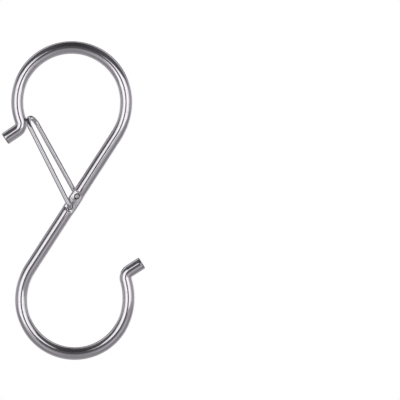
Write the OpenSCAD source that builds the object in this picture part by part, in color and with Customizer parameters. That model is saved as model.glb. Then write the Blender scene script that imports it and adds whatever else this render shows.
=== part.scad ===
// S hook bent from one round wire, with a sprung wire gate across its upper mouth.
// The hook hangs as it is used: Z is up, Y runs from front to back, and the wire's middle plane is Y = 0.
// The origin is the point under the upper loop's crown that rests on the rod.

/* [Hook wire] */
// Diameter of the hook's wire
wire_d = 3.5; // [2.5:0.1:4.5]
// Height over everything, from the top of the upper loop to the bottom of the lower one
hook_length = 88.9; // [80:0.1:110]
// Slope of the straight shank above the horizontal, in degrees
shank_slope = 57.1; // [54:0.1:62]
// Rounding of the sheared edge at each end of the wire
end_round = 0.3; // [0.1:0.05:0.6]

/* [Upper loop] */
// Clear diameter of the upper loop
upper_inner_d = 26.9; // [22:0.1:30]
// How far the wire runs wide of the upper circle where it straightens into the shank
upper_ease = 0.35; // [0.1:0.05:0.8]
// How far the upper loop runs on below its own centre before the wire kicks out, in degrees
upper_wrap = 19; // [10:0.5:24]
// Fall of the upper kicked end below the horizontal, in degrees
upper_kick_slope = 34; // [20:1:45]
// Straight length of the upper kicked end
upper_kick_len = 4.2; // [2:0.1:7]

/* [Lower loop] */
// Clear diameter of the lower loop
lower_inner_d = 26.4; // [22:0.1:30]
// How far the wire runs wide of the lower circle where it straightens into the shank
lower_ease = 0.21; // [0.1:0.01:0.8]
// How far the lower loop runs on above its own centre before the wire kicks out, in degrees
lower_wrap = 15.3; // [8:0.1:24]
// Radius of the wider arc that the lower loop ends on, to the middle of the wire
lower_tail_r = 17.6; // [15:0.1:20]
// Rise of the lower kicked end above the horizontal, in degrees
lower_kick_slope = 32.5; // [20:0.5:45]
// Straight length of the lower kicked end
lower_kick_len = 4.2; // [2:0.1:7]

/* [Kicked ends] */
// Turn of the last arc of each loop, in degrees
tail_turn = 27; // [20:1:40]
// Straight length between that arc and the bend of the kicked end
kick_lead = 0.4; // [0.2:0.1:1]
// Bend radius of both kicked ends, to the middle of the wire
kick_bend_r = 2.3; // [2.2:0.1:4]

/* [Pressed flats] */
// Thickness left between the two pressed flats on the shank
press_t = 2.6; // [2.2:0.1:3]
// Length of the level part of each flat
press_len = 6; // [5:0.1:9]
// Radius of the press tool's edges, which the flats run out on
press_edge_r = 1.5; // [0.8:0.1:3]
// How far the pressed metal swells sideways on each side
press_swell = 0.12; // [0.05:0.01:0.2]

/* [Gate] */
// Diameter of the gate's spring wire
gate_wire_d = 1.3; // [1:0.05:1.5]
// Clearance all round the gate's ends in their holes
pin_clearance = 0.1; // [0.05:0.01:0.2]
// Width of the broken edge round the mouth of each hole
hole_rim = 0.18; // [0.05:0.01:0.3]
// Distance along the shank from the upper loop's centre down to the upper hole
gate_drop = 21.3; // [19:0.1:25]
// Distance between the two holes, along the shank
hole_pitch = 3.5; // [3:0.1:4.5]
// Bend radius of the elbows that turn the legs into their holes, to the middle of the wire
elbow_r = 1; // [0.8:0.05:1.2]
// Clearance between each leg and the shank that it passes
leg_clearance = 0.1; // [0.05:0.05:0.4]
// Where the gate's crown meets the upper loop, below the loop's centre, in degrees
crown_seat = 21; // [10:0.5:22]
// Gap left between the crown and the loop when the gate is shut
crown_gap = 0.25; // [0.2:0.05:0.5]
// Offset of the two legs from each other at the crown, seen from the front
crown_offset = 2; // [1:0.1:3]
// How much lower the crown's back bend sits than its front one, along the gate
crown_slant = 0.8; // [0:0.1:1]
// Straight length across the crown, between its two bends
crown_straight = 0.2; // [0.1:0.1:1]

/* [Hidden] */
$fn = 96;
hook_colour = [0.74, 0.74, 0.77];
gate_colour = [0.66, 0.66, 0.69];

wire_r = wire_d / 2;
gate_r = gate_wire_d / 2;

// Each wire is drawn as runs and bends in turn. A run reaches a little way into the bends at its ends,
// and a bend is a hair thicker, so that the run's ends lie wholly inside it.
run_lap = 0.05;
bend_extra_d = 0.01;
upper_r = upper_inner_d / 2 + wire_r;
lower_r = lower_inner_d / 2 + wire_r;

// Directions in the hook's plane, as [x, z]: along the shank and square to it
up_shank = [cos(shank_slope), sin(shank_slope)];
off_shank = [sin(shank_slope), -cos(shank_slope)];

// Loop centres, as [x, z]; the shank's slope sets how far apart they stand sideways
upper_line = upper_r + upper_ease;
lower_line = lower_r + lower_ease;
upper_centre = [0, -upper_inner_d / 2];
lower_z = wire_d - hook_length + wire_r + lower_r;
lower_x = (upper_line + lower_line + (lower_z - upper_centre.y) * up_shank.x) / off_shank.x;
lower_centre = [lower_x, lower_z];

// Each loop eases into the shank on an arc of a larger radius
upper_ease_r = upper_r + upper_ease / (1 - off_shank.x);
lower_ease_r = lower_r + lower_ease / (1 - off_shank.x);
shank_top = upper_centre - [upper_ease_r - upper_r, 0] + upper_ease_r * off_shank;
shank_foot = lower_centre + [lower_ease_r - lower_r, 0] - lower_ease_r * off_shank;
shank_len = norm(shank_top - shank_foot);

// Holes on the shank's middle line, as [x, z]
upper_hole = upper_centre + upper_line * off_shank - gate_drop * up_shank;
lower_hole = upper_hole - hole_pitch * up_shank;
hole_d = gate_wire_d + 2 * pin_clearance;
press_middle = norm(lower_hole - shank_foot) + hole_pitch / 2;
press_reach = press_len / 2 + press_edge_r;

// The gate's corners, in space: an elbow at each hole and two corners at the crown
leg_depth = wire_r + leg_clearance + gate_r;
pin_depth = press_t / 2;
crown_reach = upper_inner_d / 2 - gate_r - crown_gap;
crown_middle = upper_centre + crown_reach * [-cos(crown_seat), -sin(crown_seat)];
gate_run = crown_middle - (upper_hole + lower_hole) / 2;
gate_side = [-gate_run.y, gate_run.x] / norm(gate_run);
crown_step = (gate_side * crown_offset + gate_run / norm(gate_run) * crown_slant) / 2;
front_pin = in_plane(lower_hole, pin_depth);
front_elbow = in_plane(lower_hole, -leg_depth);
front_crown = in_plane(crown_middle + crown_step, -leg_depth);
back_crown = in_plane(crown_middle - crown_step, leg_depth);
back_elbow = in_plane(upper_hole, leg_depth);
back_pin = in_plane(upper_hole, -pin_depth);

// The crown's two bends share its width, less the straight between them
front_turn = turn_at(front_elbow, front_crown, back_crown);
back_turn = turn_at(front_crown, back_crown, back_elbow);
crown_width = norm(back_crown - front_crown);
crown_r = (crown_width - crown_straight) / (tan(front_turn / 2) + tan(back_turn / 2));

// A point of the hook's plane at a depth behind it
function in_plane(p, depth) = [p.x, depth, p.y];

function unit(v) = v / norm(v);

// Angle that a wire turns through at a corner between two points
function turn_at(before, corner, after) = acos(unit(corner - before) * unit(after - corner));

// Length that a bend takes from each side of its corner
function bend_trim(before, corner, after, r) = r * tan(turn_at(before, corner, after) / 2);

// Straight run of round wire between two bends
module straight_run(p, q, d) {
    run = q - p;
    translate(p - unit(run) * run_lap)
        rotate([0, acos(run.z / norm(run)), atan2(run.y, run.x)])
            cylinder(h = norm(run) + 2 * run_lap, d = d);
}

// Bend of round wire at a corner, on the way from one point to another
module corner_bend(before, corner, after, r, d) {
    run = unit(corner - before);
    turn = turn_at(before, corner, after);
    normal = unit(cross(run, after - corner));
    inward = cross(normal, run);
    centre = corner - run * r * tan(turn / 2) + inward * r;
    tilt = acos(normal.z);
    heading = atan2(normal.y, normal.x);
    // The bend starts on the side away from inward, measured about the tilted normal
    across = -(inward.x * cos(heading) + inward.y * sin(heading)) * cos(tilt) + inward.z * sin(tilt);
    along = inward.x * sin(heading) - inward.y * cos(heading);
    translate(centre)
        rotate([0, tilt, heading])
            rotate([0, 0, atan2(along, across)])
                rotate_extrude(angle = turn)
                    translate([r, 0])
                        circle(d = d + bend_extra_d);
}

// Last run of round wire, up from a bend at Z = 0, with its far end sheared flat and its edge rounded
module sheared_run(length, d, edge) {
    rotate_extrude()
        intersection() {
            union() {
                translate([0, -run_lap])
                    square([d / 2 - edge, length + run_lap]);
                translate([0, -run_lap])
                    square([d / 2, length - edge + run_lap]);
                translate([d / 2 - edge, length - edge])
                    circle(r = edge);
            }
            translate([0, -run_lap])
                square([d / 2, length + run_lap]);
        }
}

// Arc of round wire in the hook's plane, between two angles about a centre
module flat_arc(centre, r, from, to, d) {
    translate(in_plane(centre, 0))
        rotate([90, 0, 0])
            rotate([0, 0, from])
                rotate_extrude(angle = to - from)
                    translate([r, 0])
                        circle(d = d);
}

// One open loop about its own centre: the ease off the shank, the circle, the last arc and the kicked end
module loop(r, ease_r, tail_r, wrap, kick_slope, kick_len) {
    bend_d = wire_d + bend_extra_d;
    lap_angle = run_lap / r * 180 / PI;
    tail_start = wrap - tail_turn;
    tail_centre = (tail_r - r) * [cos(tail_start), sin(tail_start)];
    outward = [-cos(wrap), -sin(wrap)];
    onward = [sin(wrap), -cos(wrap)];
    flat_arc([r - ease_r, 0], ease_r, shank_slope - 90, 0, bend_d);
    flat_arc([0, 0], r, -lap_angle, 180 + tail_start + lap_angle, wire_d);
    flat_arc(tail_centre, tail_r, 180 + tail_start, 180 + wrap, bend_d);
    lead_start = tail_centre + tail_r * outward;
    lead_end = lead_start + kick_lead * onward;
    straight_run(in_plane(lead_start, 0), in_plane(lead_end, 0), wire_d);
    bend_centre = lead_end + kick_bend_r * outward;
    flat_arc(bend_centre, kick_bend_r, kick_slope - 90, wrap, bend_d);
    kick_start = bend_centre + kick_bend_r * [sin(kick_slope), -cos(kick_slope)];
    translate(in_plane(kick_start, 0))
        rotate([0, -90 - kick_slope, 0])
            sheared_run(kick_len, wire_d, end_round);
}

// The straight shank along its own Z, swollen where it was pressed
module shank_wire() {
    swell_r = (press_reach * press_reach + press_swell * press_swell) / (2 * press_swell);
    rotate_extrude()
        union() {
            translate([0, -run_lap])
                square([wire_r, shank_len + 2 * run_lap]);
            intersection() {
                translate([wire_r + press_swell - swell_r, press_middle])
                    circle(r = swell_r);
                translate([0, press_middle - press_reach])
                    square([wire_d, 2 * press_reach]);
            }
        }
}

// What the press takes off both sides of the shank
module press_tools() {
    for (side = [-1, 1])
        translate([0, side * (press_t / 2 + press_edge_r), press_middle])
            rotate([0, 90, 0])
                linear_extrude(height = 2 * wire_d, center = true) {
                    square([press_len, 2 * press_edge_r], center = true);
                    for (end = [-1, 1])
                        translate([end * press_len / 2, 0])
                            circle(r = press_edge_r);
                }
}

// Through hole along Z, with the edge of each mouth broken
module pin_hole() {
    cylinder(h = 2 * wire_d, d = hole_d, center = true);
    for (side = [0, 180])
        rotate([side, 0, 0])
            translate([0, 0, press_t / 2 - hole_rim])
                cylinder(h = 2 * hole_rim, d1 = hole_d, d2 = hole_d + 4 * hole_rim);
}

module shank() {
    difference() {
        translate(in_plane(shank_foot, 0))
            rotate([0, 90 - shank_slope, 0])
                difference() {
                    shank_wire();
                    press_tools();
                }
        for (hole = [upper_hole, lower_hole])
            translate(in_plane(hole, 0))
                rotate([90, 0, 0])
                    pin_hole();
    }
}

module hook() {
    color(hook_colour)
        union() {
            translate(in_plane(upper_centre, 0))
                loop(upper_r, upper_ease_r, upper_r, upper_wrap, upper_kick_slope, upper_kick_len);
            translate(in_plane(lower_centre, 0))
                rotate([0, 180, 0])
                    loop(lower_r, lower_ease_r, lower_tail_r, lower_wrap, lower_kick_slope, lower_kick_len);
            shank();
        }
}

// One leg with the end that turns in a hole: the pin, its elbow and the run up to the crown's bend
module gate_leg(pin, elbow, crown, beyond) {
    elbow_trim = bend_trim(pin, elbow, crown, elbow_r);
    crown_trim = bend_trim(elbow, crown, beyond, crown_r);
    inwards = sign(pin.y - elbow.y);
    translate(elbow + [0, inwards * elbow_trim, 0])
        rotate([-inwards * 90, 0, 0])
            sheared_run(abs(pin.y - elbow.y) - elbow_trim, gate_wire_d, gate_r / 4);
    corner_bend(pin, elbow, crown, elbow_r, gate_wire_d);
    run = unit(crown - elbow);
    straight_run(elbow + run * elbow_trim, crown - run * crown_trim, gate_wire_d);
    corner_bend(elbow, crown, beyond, crown_r, gate_wire_d);
}

module gate() {
    color(gate_colour)
        union() {
            gate_leg(front_pin, front_elbow, front_crown, back_crown);
            gate_leg(back_pin, back_elbow, back_crown, front_crown);
            across = unit(back_crown - front_crown);
            straight_run(front_crown + across * crown_r * tan(front_turn / 2),
                         back_crown - across * crown_r * tan(back_turn / 2), gate_wire_d);
        }
}

hook();
gate();
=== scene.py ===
"""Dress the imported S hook: its bright wire, its sprung wire gate and the plain studio round it."""

from __future__ import annotations

import logging
import math
from dataclasses import dataclass, field
from enum import Enum

import bmesh
import bpy
from bmesh.types import BMEdge, BMesh, BMVert
from mathutils import Matrix, Vector

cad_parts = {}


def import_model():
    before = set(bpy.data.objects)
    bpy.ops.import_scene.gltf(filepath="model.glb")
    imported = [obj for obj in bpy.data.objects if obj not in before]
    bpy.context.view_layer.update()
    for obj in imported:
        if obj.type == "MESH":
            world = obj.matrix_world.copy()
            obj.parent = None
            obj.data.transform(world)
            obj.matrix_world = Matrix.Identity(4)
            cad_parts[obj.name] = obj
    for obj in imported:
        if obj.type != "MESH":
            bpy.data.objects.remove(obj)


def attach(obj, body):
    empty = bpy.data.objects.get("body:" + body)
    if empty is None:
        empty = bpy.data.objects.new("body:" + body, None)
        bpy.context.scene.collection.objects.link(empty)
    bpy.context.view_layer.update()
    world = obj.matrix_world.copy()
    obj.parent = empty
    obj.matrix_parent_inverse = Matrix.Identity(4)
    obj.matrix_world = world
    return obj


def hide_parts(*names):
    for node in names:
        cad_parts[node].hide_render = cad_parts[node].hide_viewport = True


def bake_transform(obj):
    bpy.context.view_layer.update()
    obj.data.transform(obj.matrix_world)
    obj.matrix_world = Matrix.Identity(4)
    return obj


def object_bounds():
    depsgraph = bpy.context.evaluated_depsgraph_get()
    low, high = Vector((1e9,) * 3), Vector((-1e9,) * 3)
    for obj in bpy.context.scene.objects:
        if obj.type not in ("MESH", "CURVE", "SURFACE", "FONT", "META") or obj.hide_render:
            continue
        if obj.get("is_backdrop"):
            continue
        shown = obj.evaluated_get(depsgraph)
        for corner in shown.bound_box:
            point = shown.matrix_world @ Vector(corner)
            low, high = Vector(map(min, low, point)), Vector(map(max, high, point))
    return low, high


Tree = bpy.types.NodeTree
Socket = bpy.types.NodeSocket
Thing = bpy.types.Object
Span = tuple[float, float]
Triple = tuple[float, float, float]
Colour = Triple
Edges = tuple[float, float, float, float]
Mark = tuple[list[BMVert], list[BMEdge], Vector, Vector, Vector, float]
Inputs = dict[str | int, object]

LOG = logging.getLogger("s_hook")
MM = 0.001
WIRE_UV = "wire_uv"
FULL: Span = (0.0, 1.0)
# Sockets of the Mix node, which has a pair of inputs for each kind of value
MIX_AMOUNT = 0
MIX_LEVELS = (2, 3)
MIX_COLOURS = (6, 7)
MIXED_COLOUR = 2


class Skin(Enum):
    """Material index of each kind of surface that a wire has."""

    DRAWN = 0
    SHEARED = 1
    PRESSED = 2
    PIERCED = 3


def in_plane(x: float, z: float) -> Vector:
    """Return the point of the hook's middle plane at x and z."""
    return Vector((x, 0, z))


def feed(made: bpy.types.Node, inputs: Inputs) -> None:
    """Feed a node's inputs.

    Args:
        made: Node that is fed.
        inputs: Socket or value for each input, by name or index, or None to leave it alone.
    """
    for key, value in inputs.items():
        if isinstance(value, Socket):
            made.id_data.links.new(value, made.inputs[key])
        elif value is not None:
            made.inputs[key].default_value = value


def node(tree: Tree, kind: str, inputs: Inputs | None = None, **values: object) -> bpy.types.Node:
    """Add a shader node, set its properties and feed its inputs.

    Args:
        tree: Node tree that gets the node.
        kind: Blender's name of the node type.
        inputs: Socket or value for each input, by name or index.
        values: Properties of the node, by name.

    Returns:
        The new node.
    """
    made = tree.nodes.new(kind)
    for name, value in values.items():
        setattr(made, name, value)
    feed(made, inputs or {})
    return made


def math_node(tree: Tree, operation: str, *inputs: object) -> Socket:
    """Add a Math node fed by sockets or numbers, and return its output."""
    return node(tree, "ShaderNodeMath", dict(enumerate(inputs)), operation=operation).outputs[0]


def noise(tree: Tree, vector: Socket, scale: float, detail: float = 2.0,
          roughness: float = 0.5) -> Socket:
    """Add a noise texture, with its scale in periods a unit, and return its value."""
    return node(tree, "ShaderNodeTexNoise", {"Vector": vector, "Scale": scale, "Detail": detail,
                                             "Roughness": roughness}).outputs[0]


def map_range(tree: Tree, value: Socket, source: Span, target: Span = FULL) -> Socket:
    """Map a value from one range to another, clamped at both ends.

    Args:
        tree: Node tree that gets the node.
        value: Value to map.
        source: Range that the value has.
        target: Range that it gets.

    Returns:
        The mapped value.
    """
    names = ("Value", "From Min", "From Max", "To Min", "To Max")
    inputs = dict(zip(names, (value, *source, *target)))
    return node(tree, "ShaderNodeMapRange", inputs, clamp=True).outputs[0]


def soft_step(tree: Tree, value: Socket, edge: Span) -> Socket:
    """Rise smoothly from 0 to 1 between the two values of an edge."""
    inputs = {"Value": value, "From Min": edge[0], "From Max": edge[1]}
    return node(tree, "ShaderNodeMapRange", inputs, interpolation_type="SMOOTHSTEP").outputs[0]


def blend_level(tree: Tree, amount: Socket, below: Socket | float,
                above: Socket | float) -> Socket:
    """Mix two levels, from the first at an amount of 0 to the second at 1."""
    inputs = dict(zip((MIX_AMOUNT, *MIX_LEVELS), (amount, below, above)))
    return node(tree, "ShaderNodeMix", inputs, data_type="FLOAT").outputs[0]


def mix_colour(tree: Tree, amount: Socket, below: Colour, above: Colour) -> Socket:
    """Mix two colours, from the first at an amount of 0 to the second at 1."""
    inputs = dict(zip((MIX_AMOUNT, *MIX_COLOURS), (amount, (*below, 1.0), (*above, 1.0))))
    return node(tree, "ShaderNodeMix", inputs, data_type="RGBA").outputs[MIXED_COLOUR]


def bump(tree: Tree, height: Socket, distance: float, below: Socket | None = None) -> Socket:
    """Turn a height into a normal, on a coarser bump if there is one; distance is its scale."""
    inputs = {"Strength": 1.0, "Distance": distance, "Height": height, "Normal": below}
    return node(tree, "ShaderNodeBump", inputs).outputs[0]


def between(tree: Tree, value: Socket, edges: Edges) -> Socket:
    """Return 1 between two soft edges and 0 outside; each edge is where it starts and ends."""
    inside = math_node(tree, "SUBTRACT", 1.0, soft_step(tree, value, edges[2:]))
    return math_node(tree, "MULTIPLY", soft_step(tree, value, edges[:2]), inside)


def distance_from(tree: Tree, place: Socket, centre: Triple, scale: Triple) -> Socket:
    """Measure how far a place is from a centre, along the axes that count.

    Args:
        tree: Node tree that gets the nodes.
        place: Place that is measured.
        centre: Centre, in the same coordinates.
        scale: 1 for each axis that counts and 0 for the others.

    Returns:
        The distance.
    """
    for operation, value in (("SUBTRACT", centre), ("MULTIPLY", scale)):
        inputs = {0: place, 1: value}
        place = node(tree, "ShaderNodeVectorMath", inputs, operation=operation).outputs[0]
    return node(tree, "ShaderNodeVectorMath", {0: place}, operation="LENGTH").outputs["Value"]


def new_material(name: str) -> tuple[bpy.types.Material, Tree, bpy.types.Node]:
    """Make an empty material with a metal shader.

    Args:
        name: Name of the material.

    Returns:
        The material, its node tree and the shader node.
    """
    material = bpy.data.materials.new(name)
    material.use_nodes = True
    tree = material.node_tree
    tree.nodes.clear()
    shader = node(tree, "ShaderNodeBsdfPrincipled", {"Metallic": 1.0})
    node(tree, "ShaderNodeOutputMaterial", {"Surface": shader.outputs[0]})
    return material, tree, shader


@dataclass(frozen=True)
class DrawnFinish:
    """Bright surface of drawn wire: fine lines along it, a slow waver and a few dull scuffs."""

    name: str
    colour: Colour
    shade: Colour
    roughness: Span
    line_depth: float
    wave_depth: float
    lines_around: float = 9.0
    lines_along: float = 30.0
    line_edges: Span = (0.35, 0.65)
    line_wear: Span = (0.0, 0.6)
    wave_size: float = 170.0
    scuff_size: float = 900.0
    scuff_edges: Span = (0.55, 0.72)

    def material(self) -> bpy.types.Material:
        """Build the procedural material, whose lines follow the wire's own UV map."""
        material, tree, shader = new_material(self.name)
        uv = node(tree, "ShaderNodeUVMap", uv_map=WIRE_UV)
        along, around, _ = node(tree, "ShaderNodeSeparateXYZ", {0: uv.outputs[0]}).outputs
        angle = math_node(tree, "MULTIPLY", around, math.tau)
        lengthwise = node(tree, "ShaderNodeCombineXYZ",
                          {0: math_node(tree, "MULTIPLY", along, self.lines_along)})
        for index, turn in ((1, "COSINE"), (2, "SINE")):
            side = math_node(tree, "MULTIPLY", math_node(tree, turn, angle), self.lines_around)
            feed(lengthwise, {index: side})
        place = node(tree, "ShaderNodeTexCoord").outputs["Object"]
        lines = noise(tree, lengthwise.outputs[0], 1.0, detail=4.0, roughness=0.7)
        waves = noise(tree, place, self.wave_size, detail=1.0)
        scuffs = noise(tree, place, self.scuff_size, detail=3.0, roughness=0.6)
        slow = bump(tree, waves, self.wave_depth)
        dull = map_range(tree, scuffs, self.scuff_edges)
        streaks = map_range(tree, lines, self.line_edges, self.line_wear)
        wear = math_node(tree, "MAXIMUM", dull, streaks)
        feed(shader, {"Normal": bump(tree, lines, self.line_depth, slow),
                      "Roughness": map_range(tree, wear, FULL, self.roughness),
                      "Base Color": mix_colour(tree, wear, self.colour, self.shade)})
        return material


@dataclass(frozen=True)
class ShearedFinish:
    """Duller, torn surface where the wire was cut or pierced; where its colours are near black, as
    in the hook's holes, it carries painted shade.
    """

    name: str
    colour: Colour
    shade: Colour
    roughness: Span = (0.28, 0.5)
    grain: float = 2600.0
    stretch: Triple = (1.0, 0.25, 1.0)
    dull_edges: Span = (0.3, 0.7)
    tint_edges: Span = (0.35, 0.65)
    tear_depth: float = 0.00006

    def material(self) -> bpy.types.Material:
        """Build the procedural material, with its tears across the wire."""
        material, tree, shader = new_material(self.name)
        place = node(tree, "ShaderNodeTexCoord").outputs["Object"]
        mapping = node(tree, "ShaderNodeMapping", {"Vector": place, "Scale": self.stretch})
        tears = noise(tree, mapping.outputs[0], self.grain, detail=3.0, roughness=0.65)
        bright = map_range(tree, tears, self.tint_edges)
        feed(shader, {"Normal": bump(tree, tears, self.tear_depth),
                      "Roughness": map_range(tree, tears, self.dull_edges, self.roughness),
                      "Base Color": mix_colour(tree, bright, self.shade, self.colour)})
        return material


@dataclass(frozen=True)
class PressedFinish:
    """Softly pitted flats that the press tools left, with a ring round each hole painted bright:
    partly rubbed wear, partly a painted highlight.
    """

    name: str
    holes: tuple[Triple, ...]
    ring_r: float
    ring_width: float
    ring_core: float = 0.3
    colour: Colour = (0.84, 0.82, 0.85)
    shade: Colour = (0.66, 0.64, 0.67)
    roughness: Span = (0.20, 0.34)
    pit_size: float = 900.0
    pit_edges: Span = (0.35, 0.65)
    pit_depth: float = 0.000014

    def material(self) -> bpy.types.Material:
        """Build the procedural material, with its bright rings."""
        material, tree, shader = new_material(self.name)
        place = node(tree, "ShaderNodeTexCoord").outputs["Object"]
        pits = noise(tree, place, self.pit_size, detail=4.0, roughness=0.6)
        dull = map_range(tree, pits, self.pit_edges)
        # Each hole gets a ring painted bright: partly rubbed wear, partly a painted highlight at its
        # rim
        for hole in self.holes:
            dull = self.rub_and_highlight_ring(tree, place, hole, dull)
        feed(shader, {"Normal": bump(tree, pits, self.pit_depth),
                      "Roughness": map_range(tree, dull, FULL, self.roughness),
                      "Base Color": mix_colour(tree, dull, self.colour, self.shade)})
        return material

    def rub_and_highlight_ring(self, tree: Tree, place: Socket, hole: Triple, dull: Socket) -> Socket:
        """Take the dullness off in the ring round one hole, which is partly rubbed wear and partly a
        painted highlight.

        Args:
            tree: Node tree that gets the nodes.
            place: Place on the flat.
            hole: Middle of the hole.
            dull: How dull the flat is without the ring.

        Returns:
            The dullness that is left.
        """
        # The ring is painted bright, as rubbed wear and as a painted highlight
        radius = distance_from(tree, place, hole, (1.0, 0.0, 1.0))
        away = math_node(tree, "ABSOLUTE", math_node(tree, "SUBTRACT", radius, self.ring_r))
        edge = (self.ring_core * self.ring_width, self.ring_width)
        return math_node(tree, "MULTIPLY", dull, soft_step(tree, away, edge))


class WireSweep:
    """One length of round wire, grown ring by ring as it is run out straight and bent."""

    END_INSET = 0.96

    def __init__(self, start: Vector, heading: Vector, across: Vector, radius: float,
                 segments: int) -> None:
        """Put down the first ring.

        Args:
            start: Middle of the first ring.
            heading: Direction that the wire sets out in.
            across: Direction of the ring's first vertex, square to the heading.
            radius: Radius of the wire.
            segments: Vertices round the ring.
        """
        self.mesh: BMesh = bmesh.new()
        self.place = start.copy()
        self.heading = heading.normalized()
        self.across = across.normalized()
        self.radius = radius
        self.segments = segments
        self.length = 0.0
        turned = Matrix((self.across, self.heading.cross(self.across), self.heading))
        made = bmesh.ops.create_circle(
            self.mesh, cap_ends=False, segments=segments, radius=radius,
            matrix=Matrix.Translation(start) @ turned.transposed().to_4x4())
        self.ring: list[BMVert] = list(made["verts"])
        self.edges: list[BMEdge] = list({edge for vert in self.ring for edge in vert.link_edges})
        self.along: dict[BMVert, float] = {}
        self.around: dict[BMVert, int] = {}
        self._note()
        self.start: Mark = self.mark()

    def _note(self) -> None:
        """Remember how far along and round the wire each vertex of the present ring lies."""
        for index, vert in enumerate(self.ring):
            self.along[vert] = self.length
            self.around[vert] = index

    def _grow(self) -> None:
        """Extrude the present ring into a new one in the same place."""
        grown = bmesh.ops.extrude_edge_only(self.mesh, edges=self.edges)["geom"]
        fresh = {item for item in grown if isinstance(item, BMVert)}
        self.ring = [next(edge.other_vert(vert) for edge in vert.link_edges
                          if edge.other_vert(vert) in fresh) for vert in self.ring]
        self.edges = [item for item in grown
                      if isinstance(item, BMEdge) and fresh.issuperset(item.verts)]

    def mark(self) -> Mark:
        """Mark where the wire has got to, so that it can be taken up there again."""
        place, heading, across = self.place.copy(), self.heading.copy(), self.across.copy()
        return self.ring, self.edges, place, heading, across, self.length

    def take_up(self, mark: Mark) -> None:
        """Take the wire up again at a mark."""
        self.ring, self.edges, self.place, self.heading, self.across, self.length = mark

    def go_back(self) -> None:
        """Go back to the first ring and head out of the wire's other end."""
        self.take_up(self.start)
        self.heading = -self.heading

    def narrow(self, share: float) -> None:
        """Shrink the present ring about its middle to a share of its size."""
        bmesh.ops.scale(self.mesh, vec=(share,) * 3, verts=self.ring,
                        space=Matrix.Translation(-self.place))

    def run(self, length: float, steps: int = 1) -> None:
        """Run the wire straight on.

        Args:
            length: Length of the run.
            steps: Rings along it.
        """
        for _ in range(steps):
            self._grow()
            stride = self.heading * (length / steps)
            bmesh.ops.translate(self.mesh, vec=stride, verts=self.ring)
            self.place += stride
            self.length += length / steps
            self._note()

    def bend(self, radius: float, angle: float, axis: Vector, steps: int) -> None:
        """Bend the wire on an arc.

        Args:
            radius: Radius of the arc, to the middle of the wire.
            angle: Angle to turn through, in degrees, by the right hand round the axis.
            axis: Axis of the turn, square to the heading.
            steps: Rings along the arc.
        """
        centre = self.place + axis.cross(self.heading) * radius
        step = Matrix.Rotation(math.radians(angle / steps), 3, axis)
        for _ in range(steps):
            self._grow()
            bmesh.ops.rotate(self.mesh, cent=centre, matrix=step, verts=self.ring)
            self.place = centre + step @ (self.place - centre)
            self.heading = step @ self.heading
            self.across = step @ self.across
            self.length += radius * math.radians(angle / steps)
            self._note()

    def close(self, edge: float, steps: int = 4) -> None:
        """Round the edge of the wire's end and fill its face.

        Args:
            edge: Radius of the rounding, or 0 for a plain flat end.
            steps: Rings round the edge.
        """
        drawn = set(self.mesh.faces)
        for step in range(steps if edge else 0):
            before, after = (math.radians(90 * part / steps) for part in (step, step + 1))
            self._grow()
            stride = self.heading * edge * (math.sin(after) - math.sin(before))
            bmesh.ops.translate(self.mesh, vec=stride, verts=self.ring)
            self.place += stride
            was, now = (self.radius - edge * (1 - math.cos(turn)) for turn in (before, after))
            self.narrow(now / was)
            self.length += stride.length
            self._note()
        if edge:
            # A ring just inside the rounded edge keeps the face's shading flat
            self._grow()
            self.narrow(self.END_INSET)
            self._note()
        bmesh.ops.edgeloop_fill(self.mesh, edges=self.edges)
        for face in set(self.mesh.faces) - drawn:
            face.material_index = Skin.SHEARED.value

    def lay_uv(self) -> None:
        """Write the UV map: metres along the wire, and turns round it."""
        layer = self.mesh.loops.layers.uv.new(WIRE_UV)
        for face in self.mesh.faces:
            turns = [self.around.get(vert, 0) for vert in face.verts]
            wraps = len(turns) == 4 and max(turns) - min(turns) > self.segments // 2
            for loop in face.loops:
                turn = self.around.get(loop.vert, 0)
                if wraps and turn == 0:
                    turn = self.segments
                loop[layer].uv = (self.along.get(loop.vert, 0.0), turn / self.segments)


def new_object(mesh: BMesh, name: str) -> Thing:
    """Turn a mesh into an object of the scene, at the origin.

    Args:
        mesh: The mesh, which is used up.
        name: Name of the object.

    Returns:
        The object.
    """
    data = bpy.data.meshes.new(name)
    mesh.to_mesh(data)
    mesh.free()
    made = bpy.data.objects.new(name, data)
    bpy.context.scene.collection.objects.link(made)
    return made


def finish_mesh(sweep: WireSweep, name: str) -> Thing:
    """Turn a finished sweep into an object at the origin.

    Args:
        sweep: The wire, closed at both ends.
        name: Name of the object.

    Returns:
        The object.
    """
    sweep.lay_uv()
    bmesh.ops.recalc_face_normals(sweep.mesh, faces=sweep.mesh.faces)
    return new_object(sweep.mesh, name)


def shade(made: Thing, sharp_angle: float) -> None:
    """Shade an object smooth, but for edges sharper than an angle.

    Args:
        made: Object whose mesh is marked.
        sharp_angle: Least angle of a sharp edge, in degrees.
    """
    mesh = bmesh.new()
    mesh.from_mesh(made.data)
    for face in mesh.faces:
        face.smooth = True
    for edge in mesh.edges:
        if len(edge.link_faces) == 2 and edge.calc_face_angle() > math.radians(sharp_angle):
            edge.smooth = False
    mesh.to_mesh(made.data)
    mesh.free()


@dataclass(frozen=True)
class LoopSizes:
    """Sizes of one open loop of the hook, in metres and degrees."""

    inner_d: float
    ease: float
    tail_r: float
    wrap: float
    kick_slope: float
    kick_len: float


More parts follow.
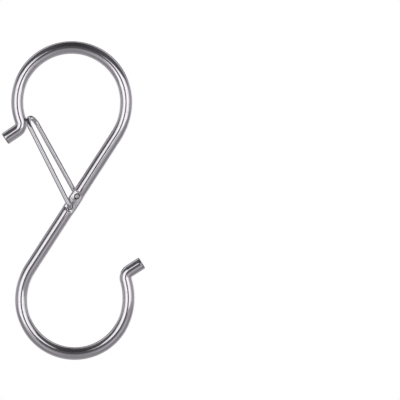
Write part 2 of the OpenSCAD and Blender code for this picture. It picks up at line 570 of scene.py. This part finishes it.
@dataclass
class HookWire:
    """The bent wire of the hook, with the pressed flats and the two holes that carry the gate."""

    wire_d: float = 3.5 * MM
    height: float = 88.9 * MM
    slope: float = 57.1
    upper: LoopSizes = LoopSizes(26.9 * MM, 0.35 * MM, 15.2 * MM, 19.0, 34.0, 4.2 * MM)
    lower: LoopSizes = LoopSizes(26.4 * MM, 0.21 * MM, 17.6 * MM, 15.3, 32.5, 4.2 * MM)
    tail_turn: float = 27.0
    kick_lead: float = 0.4 * MM
    kick_bend_r: float = 2.3 * MM
    end_round: float = 0.3 * MM
    press_t: float = 2.6 * MM
    press_len: float = 4.7 * MM
    press_edge_r: float = 1.0 * MM
    press_swell: float = 0.12 * MM
    gate_drop: float = 21.3 * MM
    hole_pitch: float = 3.5 * MM
    hole_d: float = 1.5 * MM
    hole_rim: float = 0.12 * MM
    hole_step: float = 0.09 * MM
    hole_step_len: float = 0.3 * MM
    # Where the bright ring round each hole lies and how wide it is: partly rubbed wear, partly a
    # painted highlight
    rub_and_highlight_offset: float = 0.264 * MM
    rub_and_highlight_width: float = 0.192 * MM
    press_soft: float = 0.25 * MM
    press_dome: float = 0.15 * MM
    segments: int = 112
    hole_segments: int = 48
    kick_rings: int = 6
    kick_bend_rings: int = 32
    least_arc_rings: int = 8
    ring_pitch: float = 0.4 * MM
    shank_ring_pitch: float = 1.6 * MM
    press_ring_pitch: float = 0.1 * MM
    sharp_angle: float = 24.0
    drawn: DrawnFinish = field(default_factory=lambda: DrawnFinish(
        name="bright_wire", colour=(0.82, 0.80, 0.83), shade=(0.68, 0.66, 0.69),
        roughness=(0.06, 0.17), line_depth=0.000005, wave_depth=0.00004))
    sheared: ShearedFinish = field(default_factory=lambda: ShearedFinish(
        name="sheared_wire", colour=(0.46, 0.45, 0.47), shade=(0.26, 0.25, 0.27)))
    # The walls and broken mouths of the holes are painted near black: painted shade inside the
    # holes, over their torn grain
    pierced: ShearedFinish = field(default_factory=lambda: ShearedFinish(
        name="pierced_wire_painted_shade", colour=(0.10, 0.10, 0.105), shade=(0.04, 0.04, 0.042)))

    @property
    def wire_r(self) -> float:
        """Radius of the wire."""
        return self.wire_d / 2

    @property
    def up_shank(self) -> Vector:
        """Direction up the shank."""
        return in_plane(math.cos(math.radians(self.slope)), math.sin(math.radians(self.slope)))

    @property
    def off_shank(self) -> Vector:
        """Direction in the hook's plane, square to the shank and away from the upper loop."""
        return in_plane(math.sin(math.radians(self.slope)), -math.cos(math.radians(self.slope)))

    def loop_r(self, sizes: LoopSizes) -> float:
        """Radius of a loop, to the middle of the wire."""
        return sizes.inner_d / 2 + self.wire_r

    def ease_r(self, sizes: LoopSizes) -> float:
        """Radius of the wider arc on which a loop runs into the shank."""
        return self.loop_r(sizes) + sizes.ease / (1 - self.off_shank.x)

    @property
    def upper_centre(self) -> Vector:
        """Centre of the upper loop."""
        return in_plane(0.0, -self.upper.inner_d / 2)

    @property
    def lower_centre(self) -> Vector:
        """Centre of the lower loop."""
        z = self.wire_d - self.height + self.wire_r + self.loop_r(self.lower)
        lines = sum(self.loop_r(sizes) + sizes.ease for sizes in (self.upper, self.lower))
        x = (lines + (z - self.upper_centre.z) * self.up_shank.x) / self.off_shank.x
        return in_plane(x, z)

    @property
    def shank_top(self) -> Vector:
        """Upper end of the straight shank."""
        ease = self.ease_r(self.upper)
        centre = self.upper_centre - in_plane(ease - self.loop_r(self.upper), 0)
        return centre + ease * self.off_shank

    @property
    def shank_foot(self) -> Vector:
        """Lower end of the straight shank."""
        ease = self.ease_r(self.lower)
        centre = self.lower_centre + in_plane(ease - self.loop_r(self.lower), 0)
        return centre - ease * self.off_shank

    @property
    def upper_hole(self) -> Vector:
        """Middle of the upper hole, for the gate's back end."""
        line = self.loop_r(self.upper) + self.upper.ease
        return self.upper_centre + line * self.off_shank - self.gate_drop * self.up_shank

    @property
    def lower_hole(self) -> Vector:
        """Middle of the lower hole, for the gate's front end."""
        return self.upper_hole - self.hole_pitch * self.up_shank

    def sweep(self) -> WireSweep:
        """Run and bend the wire from the upper kicked end to the lower one."""
        upper, lower = self.upper, self.lower
        wrap, tail_start = math.radians(upper.wrap), math.radians(upper.wrap - self.tail_turn)
        outward = in_plane(-math.cos(wrap), -math.sin(wrap))
        onward = in_plane(math.sin(wrap), -math.cos(wrap))
        tail_way = in_plane(math.cos(tail_start), math.sin(tail_start))
        tail_centre = self.upper_centre + (upper.tail_r - self.loop_r(upper)) * tail_way
        bend_centre = tail_centre + (upper.tail_r + self.kick_bend_r) * outward
        bend_centre += self.kick_lead * onward
        kick = math.radians(upper.kick_slope)
        heading = in_plane(math.cos(kick), math.sin(kick))
        kick_start = bend_centre + self.kick_bend_r * in_plane(math.sin(kick), -math.cos(kick))
        tip = kick_start - heading * upper.kick_len
        # The sweep starts inside the kicked end and grows both ways, so that both ends close alike
        start = tip + heading * self.end_round
        left, right = Vector((0, -1, 0)), Vector((0, 1, 0))
        wire = WireSweep(start, heading, right, self.wire_r, self.segments)
        wire.run(upper.kick_len - self.end_round, self.kick_rings)
        turn = 90 - upper.kick_slope + upper.wrap
        wire.bend(self.kick_bend_r, turn, left, self.kick_bend_rings)
        wire.run(self.kick_lead)
        self.arc(wire, upper.tail_r, self.tail_turn, right)
        self.arc(wire, self.loop_r(upper), 180 + upper.wrap - self.tail_turn, right)
        self.arc(wire, self.ease_r(upper), 90 - self.slope, right)
        self.shank(wire)
        self.arc(wire, self.ease_r(lower), 90 - self.slope, left)
        self.arc(wire, self.loop_r(lower), 180 + lower.wrap - self.tail_turn, left)
        self.arc(wire, lower.tail_r, self.tail_turn, left)
        wire.run(self.kick_lead)
        turn = 90 - lower.kick_slope + lower.wrap
        wire.bend(self.kick_bend_r, turn, right, self.kick_bend_rings)
        wire.run(lower.kick_len - self.end_round, self.kick_rings)
        wire.close(self.end_round)
        wire.go_back()
        wire.close(self.end_round)
        return wire

    def arc(self, wire: WireSweep, radius: float, angle: float, axis: Vector) -> None:
        """Bend the wire on a wide arc, with rings at the usual pitch."""
        steps = round(radius * math.radians(angle) / self.ring_pitch)
        wire.bend(radius, angle, axis, max(self.least_arc_rings, steps))

    def shank(self, wire: WireSweep) -> None:
        """Run the shank down, with close rings where it is pressed flat.

        Args:
            wire: Wire that is being swept.
        """
        above = (self.shank_top - self.press_middle).length
        below = (self.press_middle - self.shank_foot).length
        reach = self.press_len / 2 + self.press_edge_r
        for length, pitch in ((above - reach, self.shank_ring_pitch),
                              (2 * reach, self.press_ring_pitch),
                              (below - reach, self.shank_ring_pitch)):
            wire.run(length, round(length / pitch))

    @property
    def press_middle(self) -> Vector:
        """Middle of the pressed length, halfway between the holes."""
        return (self.upper_hole + self.lower_hole) / 2

    def press(self, wire: WireSweep) -> None:
        """Flatten the shank between the press tools, and let it swell sideways.

        Args:
            wire: Wire that is shaped.
        """
        half, reach = self.press_len / 2, self.press_len / 2 + self.press_edge_r
        swell_r = (reach ** 2 + self.press_swell ** 2) / (2 * self.press_swell)
        half_chord = math.sqrt(self.wire_r ** 2 - (self.press_t / 2) ** 2)
        pressed = set()
        for vert in wire.mesh.verts:
            off = vert.co - self.press_middle
            along = off.dot(self.up_shank)
            if abs(along) > reach or abs(off.dot(self.off_shank)) > self.wire_d:
                continue
            core = self.press_middle + self.up_shank * along
            grown = math.sqrt(swell_r ** 2 - along ** 2) - swell_r + self.press_swell
            vert.co = core + (vert.co - core) * (1 + grown / self.wire_r)
            past = max(0.0, abs(along) - half)
            limit = self.press_t / 2 + self.press_edge_r
            limit -= math.sqrt(self.press_edge_r ** 2 - past ** 2)
            # The flats stay a little domed across the shank
            limit -= self.press_dome * min(1.0, abs(off.dot(self.off_shank)) / half_chord) ** 2
            deep = abs(vert.co.y)
            if deep > limit:
                pressed.add(vert)
            # The pressed edges are rounded a little, as metal leaves the tools
            near = max(0.0, self.press_soft - abs(deep - limit)) / self.press_soft
            depth = min(deep, limit) - near ** 2 * self.press_soft / 4
            vert.co.y = math.copysign(depth, vert.co.y)
        for face in wire.mesh.faces:
            if pressed.issuperset(face.verts):
                face.material_index = Skin.PRESSED.value

    def hole_cutter(self, middle: Vector) -> Thing:
        """Make the tool that pierces one hole and breaks the edges of its mouths.

        Args:
            middle: Middle of the hole.

        Returns:
            A closed object of the metal that is taken out.
        """
        mouth = self.press_t / 2 + self.hole_rim
        neck = self.press_t / 2 - self.hole_rim
        wide = self.hole_d / 2 + 2 * self.hole_rim
        cutter = WireSweep(middle - Vector((0, mouth, 0)), Vector((0, 1, 0)), Vector((1, 0, 0)),
                           wide, self.hole_segments)
        # The punch leaves a narrower step halfway through, where the metal tore
        waist = self.hole_d / 2 - self.hole_step
        slope = neck - self.hole_step_len / 2 - self.hole_step
        now = wide
        for length, radius in ((mouth - neck, self.hole_d / 2), (slope, self.hole_d / 2),
                               (self.hole_step, waist), (self.hole_step_len, waist),
                               (self.hole_step, self.hole_d / 2), (slope, self.hole_d / 2),
                               (mouth - neck, wide)):
            cutter.run(length)
            cutter.narrow(radius / now)
            now = radius
        cutter.close(0.0)
        cutter.go_back()
        cutter.close(0.0)
        # Every face of the cutter becomes a wall of a hole, painted dark as the shade inside it
        for face in cutter.mesh.faces:
            face.material_index = Skin.PIERCED.value
        return finish_mesh(cutter, "hole_cutter")

    def pierce(self, hook: Thing) -> None:
        """Cut both holes through the pressed shank.

        Args:
            hook: The hook's object.
        """
        tools = [self.hole_cutter(middle) for middle in (self.upper_hole, self.lower_hole)]
        for tool in tools:
            for material in hook.data.materials:
                tool.data.materials.append(material)
            cut = hook.modifiers.new(tool.name, "BOOLEAN")
            cut.operation, cut.solver, cut.object = "DIFFERENCE", "MANIFOLD", tool
        bpy.context.view_layer.update()
        pierced = hook.evaluated_get(bpy.context.evaluated_depsgraph_get())
        hook.data = bpy.data.meshes.new_from_object(pierced)
        hook.modifiers.clear()
        for tool in tools:
            bpy.data.objects.remove(tool)

    def build(self) -> Thing:
        """Make the hook, dress it and put it in its body.

        Returns:
            The hook's object.
        """
        wire = self.sweep()
        self.press(wire)
        hook = finish_mesh(wire, "hook_wire")
        holes = tuple(tuple(hole) for hole in (self.upper_hole, self.lower_hole))
        pressed = PressedFinish("pressed_flat", holes, self.hole_d / 2 + self.rub_and_highlight_offset,
                                self.rub_and_highlight_width)
        for finish in (self.drawn, self.sheared, pressed, self.pierced):
            hook.data.materials.append(finish.material())
        self.pierce(hook)
        shade(hook, self.sharp_angle)
        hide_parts("hook")
        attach(hook, "hook")
        return hook


@dataclass
class Gate:
    """The sprung hairpin of thin wire that shuts the upper loop."""

    hook: HookWire
    wire_d: float = 1.3 * MM
    elbow_r: float = 1.0 * MM
    leg_clearance: float = 0.1 * MM
    crown_seat: float = 21.0
    crown_gap: float = 0.25 * MM
    crown_offset: float = 2.0 * MM
    crown_slant: float = 0.8 * MM
    crown_straight: float = 0.2 * MM
    flex_len: float = 8.5 * MM
    end_round: float = 0.1625 * MM
    segments: int = 36
    end_rings: int = 8
    end_round_rings: int = 3
    elbow_rings: int = 16
    front_rings: int = 24
    back_rings: int = 120
    crown_rings: int = 28
    sharp_angle: float = 30.0
    finish: DrawnFinish = field(default_factory=lambda: DrawnFinish(
        name="spring_wire", colour=(0.79, 0.77, 0.80), shade=(0.60, 0.585, 0.61),
        roughness=(0.04, 0.10), line_depth=0.000003, wave_depth=0.000012,
        lines_around=6.0, wave_size=260.0))
    cut: ShearedFinish = field(default_factory=lambda: ShearedFinish(
        name="sheared_spring_wire", colour=(0.85, 0.84, 0.86), shade=(0.45, 0.44, 0.46)))

    @property
    def wire_r(self) -> float:
        """Radius of the gate's wire."""
        return self.wire_d / 2

    @property
    def leg_depth(self) -> float:
        """How far in front of or behind the middle plane each leg runs."""
        return self.hook.wire_r + self.leg_clearance + self.wire_r

    def corners(self) -> list[Vector]:
        """Return the wire's corners: front end, elbow, both of the crown, elbow and back end."""
        hook = self.hook
        seat = math.radians(self.crown_seat)
        reach = hook.upper.inner_d / 2 - self.wire_r - self.crown_gap
        crown = hook.upper_centre - reach * in_plane(math.cos(seat), math.sin(seat))
        rise = crown - hook.press_middle
        step = in_plane(-rise.z, rise.x).normalized() * self.crown_offset / 2
        step += rise.normalized() * self.crown_slant / 2
        depth = Vector((0, self.leg_depth, 0))
        flush = Vector((0, hook.press_t / 2, 0))
        return [hook.lower_hole + flush, hook.lower_hole - depth, crown + step - depth,
                crown - step + depth, hook.upper_hole + depth, hook.upper_hole - flush]

    def turns(self) -> list[tuple[float, Vector]]:
        """Return the angle, in degrees, and the axis of the bend at each inner corner."""
        points = self.corners()
        found = []
        for before, corner, after in zip(points, points[1:], points[2:]):
            came, goes = (corner - before).normalized(), (after - corner).normalized()
            found.append((math.degrees(came.angle(goes)), came.cross(goes).normalized()))
        return found

    @staticmethod
    def trim(radius: float, angle: float) -> float:
        """Length that a bend takes off the wire on each side of its corner."""
        return radius * math.tan(math.radians(angle / 2))

    def crown_r(self) -> float:
        """Radius of the crown's two bends, which share its width."""
        points, turns = self.corners(), self.turns()
        halves = self.trim(1.0, turns[1][0]) + self.trim(1.0, turns[2][0])
        return ((points[3] - points[2]).length - self.crown_straight) / halves

    def sweep_back_from_crown(self, place: Vector, heading: Vector, across: Vector) -> WireSweep:
        """Run the back leg from the crown down to its end in the upper hole.

        Args:
            place: Where the crown's second bend ends.
            heading: Direction down the back leg.
            across: Direction of the crown's first vertex there.

        Returns:
            The closed wire.
        """
        points, turns = self.corners(), self.turns()
        elbow_trim = self.trim(self.elbow_r, turns[3][0])
        wire = WireSweep(place, heading, across, self.wire_r, self.segments)
        wire.run((points[4] - place).length - elbow_trim, self.back_rings)
        wire.bend(self.elbow_r, *turns[3], self.elbow_rings)
        self.end(wire, (points[5] - points[4]).length - elbow_trim)
        wire.go_back()
        wire.close(0.0)
        return wire

    def end(self, wire: WireSweep, length: float) -> None:
        """Run a length from an elbow through its hole and shear the wire off."""
        wire.run(length - self.end_round, self.end_rings)
        wire.close(self.end_round, self.end_round_rings)

    def sweep_front(self) -> WireSweep:
        """Run the wire from its end in the lower hole, up the front leg and over the crown.

        Returns:
            The wire, closed at the front end and open where the back leg goes on.
        """
        points, turns = self.corners(), self.turns()
        elbow_trim = self.trim(self.elbow_r, turns[0][0])
        crown_r = self.crown_r()
        onward = (points[1] - points[0]).normalized()
        wire = WireSweep(points[1] - onward * elbow_trim, onward, Vector((1, 0, 0)), self.wire_r,
                         self.segments)
        wire.bend(self.elbow_r, *turns[0], self.elbow_rings)
        leg = (points[2] - points[1]).length - elbow_trim - self.trim(crown_r, turns[1][0])
        wire.run(leg, self.front_rings)
        wire.bend(crown_r, *turns[1], self.crown_rings)
        wire.run(self.crown_straight)
        wire.bend(crown_r, *turns[2], self.crown_rings)
        crown = wire.mark()
        wire.go_back()
        self.end(wire, (points[1] - points[0]).length - elbow_trim)
        wire.take_up(crown)
        return wire

    def build(self) -> list[Thing]:
        """Make the gate in two pieces that meet at the crown.

        Returns:
            The piece with the front leg and the crown, and the back leg.
        """
        finish, cut = self.finish.material(), self.cut.material()
        crown = self.sweep_front()
        leg = self.sweep_back_from_crown(crown.place, crown.heading, crown.across)
        crown.close(0.0)
        front = finish_mesh(crown, "gate_front_leg_and_crown")
        back = finish_mesh(leg, "gate_back_leg")
        for piece in (front, back):
            piece.data.materials.append(finish)
            piece.data.materials.append(cut)
            shade(piece, self.sharp_angle)
            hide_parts("gate")
        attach(front, "gate")
        top, elbow = self.corners()[3:5]
        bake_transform(back)
        return [front, back]


@dataclass(frozen=True)
class Softbox:
    """One broad soft lamp, given by the part of the view that it fills from the object."""

    name: str
    turns: Span
    rises: Span
    radiance: float
    distance: float

    def build(self, aim: Vector) -> Thing:
        """Hang the lamp and point it at the object.

        Args:
            aim: Point that the lamp faces.

        Returns:
            The lamp's object.
        """
        turn, rise = (math.radians(sum(pair) / 2) for pair in (self.turns, self.rises))
        width, height = (2 * self.distance * math.tan(math.radians(abs(pair[1] - pair[0]) / 2))
                         for pair in (self.turns, self.rises))
        level = math.cos(rise)
        toward = Vector((math.sin(turn) * level, -math.cos(turn) * level, math.sin(rise)))
        lamp = bpy.data.lights.new(self.name, "AREA")
        lamp.shape, lamp.size, lamp.size_y = "RECTANGLE", width, height
        lamp.energy = self.radiance * math.pi * width * height
        made = bpy.data.objects.new(self.name, lamp)
        made.location = aim + toward * self.distance
        made.rotation_euler = toward.to_track_quat("Z", "Y").to_euler()
        made.visible_camera = False
        bpy.context.scene.collection.objects.link(made)
        return made


@dataclass(frozen=True)
class Outlook:
    """Sockets that say how far a direction points to either side, ahead, back, up and down."""

    aside: Socket
    ahead: Socket
    back: Socket
    up: Socket
    down: Socket


@dataclass(frozen=True)
class Room:
    """The room that the bright wire mirrors, painted by direction.

    Of a pair of levels, the second is for a part's sides, but for the streaks of the low front
    and the top of the rear. An edge has the values between which a part begins and, where there
    are four, those between which it ends.
    """

    front: Span = (0.14, 0.34)
    front_top: Span = (0.045, 0.09)
    front_low: Span = (0.30, 0.58)
    lens: float = 0.09
    rear: Span = (0.40, 0.75)
    panel: float = 1.05
    lintel: float = 0.06
    gap: float = 0.08
    seam: Span = (0.26, 0.15)
    front_side_edge: Span = (0.08, 0.45)
    front_top_edge: Span = (0.18, 0.42)
    front_low_edge: Span = (0.0, 0.45)
    streak_edges: Edges = (0.52, 0.66, 0.80, 0.98)
    lens_edge: Span = (0.966, 0.984)
    rear_edge: Span = (0.10, 0.25)
    rear_side_lean: float = 0.35
    rear_top_lean: float = -0.36
    rear_top_edge: Span = (0.45, 0.75)
    panel_sides: Edges = (0.17, 0.24, 0.66, 0.80)
    panel_heights: Edges = (-0.42, -0.30, 0.24, 0.34)
    lintel_heights: Edges = (0.22, 0.32, 0.66, 0.82)
    lintel_edge: Span = (0.58, 0.72)
    gap_edge: Span = (0.972, 0.988)
    seam_edges: Edges = (-0.15, -0.04, 0.08, 0.19)
    seam_low_edge: Span = (0.05, 0.2)
    seam_side_edge: Span = (0.2, 0.5)

    def front_wall(self, tree: Tree, look: Outlook) -> Socket:
        """Paint the half of the room on the camera's side.

        Args:
            tree: The world's node tree.
            look: The direction's parts.

        Returns:
            The level, which is dark overhead and round the camera, and grey in streaks below.
        """
        aside = soft_step(tree, look.aside, self.front_side_edge)
        angle = math_node(tree, "ARCCOSINE", look.ahead)
        streak = math_node(tree, "MULTIPLY", between(tree, angle, self.streak_edges), aside)
        low = blend_level(tree, streak, *self.front_low)
        level = blend_level(tree, aside, *self.front)
        level = blend_level(tree, soft_step(tree, look.down, self.front_low_edge), level, low)
        dark = blend_level(tree, aside, *self.front_top)
        return blend_level(tree, soft_step(tree, look.up, self.front_top_edge), level, dark)

    def back_wall(self, tree: Tree, look: Outlook) -> Socket:
        """Paint the half of the room behind the hook.

        Args:
            tree: The world's node tree.
            look: The direction's parts.

        Returns:
            The level: a pale panel on each side, a dark lintel over them and a dark gap between.
        """
        panels = math_node(tree, "MULTIPLY", between(tree, look.aside, self.panel_sides),
                           between(tree, look.up, self.panel_heights))
        level = blend_level(tree, soft_step(tree, look.up, self.rear_top_edge), *self.rear)
        level = blend_level(tree, panels, level, self.panel)
        lintel = math_node(tree, "MULTIPLY", between(tree, look.up, self.lintel_heights),
                           soft_step(tree, look.back, self.lintel_edge))
        level = blend_level(tree, lintel, level, self.lintel)
        return blend_level(tree, soft_step(tree, look.back, self.gap_edge), level, self.gap)

    def paint(self, tree: Tree) -> Socket:
        """Paint how bright the room looks in each direction from the bright wire.

        Args:
            tree: The world's node tree.

        Returns:
            The level: the front wall, the paler back wall and a dark seam below where they meet.
        """
        way = node(tree, "ShaderNodeTexCoord").outputs["Generated"]
        x, y, z = node(tree, "ShaderNodeSeparateXYZ", {0: way}).outputs
        ahead, down = (math_node(tree, "MULTIPLY", axis, -1.0) for axis in (y, z))
        look = Outlook(math_node(tree, "ABSOLUTE", x), ahead, y, z, down)
        sideways = math_node(tree, "MULTIPLY", look.aside, self.rear_side_lean)
        upward = math_node(tree, "MULTIPLY", math_node(tree, "MAXIMUM", z, 0.0),
                           self.rear_top_lean)
        turned = math_node(tree, "ADD", y, math_node(tree, "ADD", sideways, upward))
        level = blend_level(tree, soft_step(tree, turned, self.rear_edge),
                            self.front_wall(tree, look), self.back_wall(tree, look))
        seam = math_node(tree, "MULTIPLY", between(tree, y, self.seam_edges),
                         soft_step(tree, down, self.seam_low_edge))
        aside = soft_step(tree, look.aside, self.seam_side_edge)
        level = blend_level(tree, seam, level, blend_level(tree, aside, *self.seam))
        return blend_level(tree, soft_step(tree, ahead, self.lens_edge), level, self.lens)


@dataclass
class Studio:
    """The plain white studio: three softboxes on each side, a pale floor and a level camera."""

    view_width: float = 111.6 * MM
    view_centre: Vector = field(default_factory=lambda: in_plane(35.8 * MM, -40.8 * MM))
    camera_distance: float = 1.6
    sight: float = 20.0
    sensor_width: float = 36.0
    floor_drop: float = 110.0 * MM
    floor_r: float = 0.34
    floor_segments: int = 96
    floor_fade: Span = (0.4, 0.98)
    floor_colour: Colour = (0.86, 0.86, 0.86)
    white: Colour = (1.0, 1.0, 1.0)
    tint: Colour = (1.0, 0.975, 1.03)
    diffuse_level: float = 0.75
    room: Room = Room()
    boxes: tuple[Softbox, ...] = (
        Softbox("left_inner_softbox", (-21.0, -10.0), (-14.0, 23.0), 0.92, 0.8),
        Softbox("left_middle_softbox", (-42.0, -21.0), (-17.0, 29.0), 0.92, 0.8),
        Softbox("left_outer_softbox", (-58.0, -42.0), (-15.0, 26.0), 0.60, 0.8),
        Softbox("right_inner_softbox", (10.0, 21.0), (-9.0, 23.0), 0.92, 0.3),
        Softbox("right_middle_softbox", (21.0, 42.0), (-10.0, 26.0), 0.90, 0.3),
        Softbox("right_outer_softbox", (42.0, 63.0), (-8.0, 27.0), 0.60, 0.3),
    )

    def camera(self) -> None:
        """Set the camera square to the hook's plane, framed as the reference is."""
        lens = bpy.data.cameras.new("camera")
        lens.sensor_width = self.sensor_width
        lens.lens = self.sensor_width * self.camera_distance / self.view_width
        lens.clip_end = self.sight
        made = bpy.data.objects.new("camera", lens)
        made.location = self.view_centre - Vector((0, self.camera_distance, 0))
        made.rotation_euler = (math.radians(90), 0, 0)
        bpy.context.scene.collection.objects.link(made)
        bpy.context.scene.camera = made

    def world(self) -> None:
        """Light the room: plain white, but to the bright wire the room that stands round it."""
        world = bpy.data.worlds.new("studio")
        world.use_nodes = True
        tree = world.node_tree
        tree.nodes.clear()
        path = node(tree, "ShaderNodeLightPath")
        mirrored, seen = path.outputs["Is Glossy Ray"], path.outputs["Is Camera Ray"]
        level = blend_level(tree, mirrored, self.diffuse_level, self.room.paint(tree))
        back = node(tree, "ShaderNodeBackground",
                    {"Color": mix_colour(tree, mirrored, self.white, self.tint),
                     "Strength": blend_level(tree, seen, level, 1.0)})
        node(tree, "ShaderNodeOutputWorld", {0: back.outputs[0]})
        bpy.context.scene.world = world

    def floor(self, lowest: float) -> None:
        """Lay a round pale floor below the hanging hook, fading to white at its rim.

        Args:
            lowest: Height of the hook's lowest point.
        """
        mesh = bmesh.new()
        bmesh.ops.create_circle(
            mesh, cap_ends=True, segments=self.floor_segments, radius=self.floor_r,
            matrix=Matrix.Translation((0, 0, lowest - self.floor_drop)))
        made = new_object(mesh, "floor")
        material = bpy.data.materials.new("pale_floor")
        material.use_nodes = True
        tree = material.node_tree
        tree.nodes.clear()
        place = node(tree, "ShaderNodeTexCoord").outputs["Object"]
        radius = distance_from(tree, place, (0.0, 0.0, 0.0), (1.0, 1.0, 0.0))
        rim = tuple(share * self.floor_r for share in self.floor_fade)
        seen = node(tree, "ShaderNodeLightPath").outputs["Is Camera Ray"]
        faded = math_node(tree, "MULTIPLY", map_range(tree, radius, rim), seen)
        chalk = node(tree, "ShaderNodeBsdfDiffuse", {0: (*self.floor_colour, 1.0)})
        white = node(tree, "ShaderNodeEmission")
        mix = node(tree, "ShaderNodeMixShader",
                   {0: faded, 1: chalk.outputs[0], 2: white.outputs[0]})
        node(tree, "ShaderNodeOutputMaterial", {0: mix.outputs[0]})
        made.data.materials.append(material)
        made.visible_glossy = False
        made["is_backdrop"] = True

    def build(self, low: Vector, high: Vector) -> None:
        """Set up the whole studio round the hook.

        Args:
            low: Lowest corner of the hook's box.
            high: Highest corner of the hook's box.
        """
        self.camera()
        self.world()
        self.floor(low.z)
        for box in self.boxes:
            box.build((low + high) / 2)
        bpy.context.scene.view_settings.view_transform = "Standard"


def main() -> None:
    """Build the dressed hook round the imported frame."""
    logging.basicConfig(level=logging.INFO, format="%(name)s: %(message)s")
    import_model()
    low, high = (Vector(corner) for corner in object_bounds())
    Studio().build(low, high)
    hook = HookWire()
    pieces = [hook.build(), *Gate(hook).build()]
    for piece in pieces:
        LOG.info("%s: %d faces", piece.name, len(piece.data.polygons))


if __name__ == "__main__":
    main()
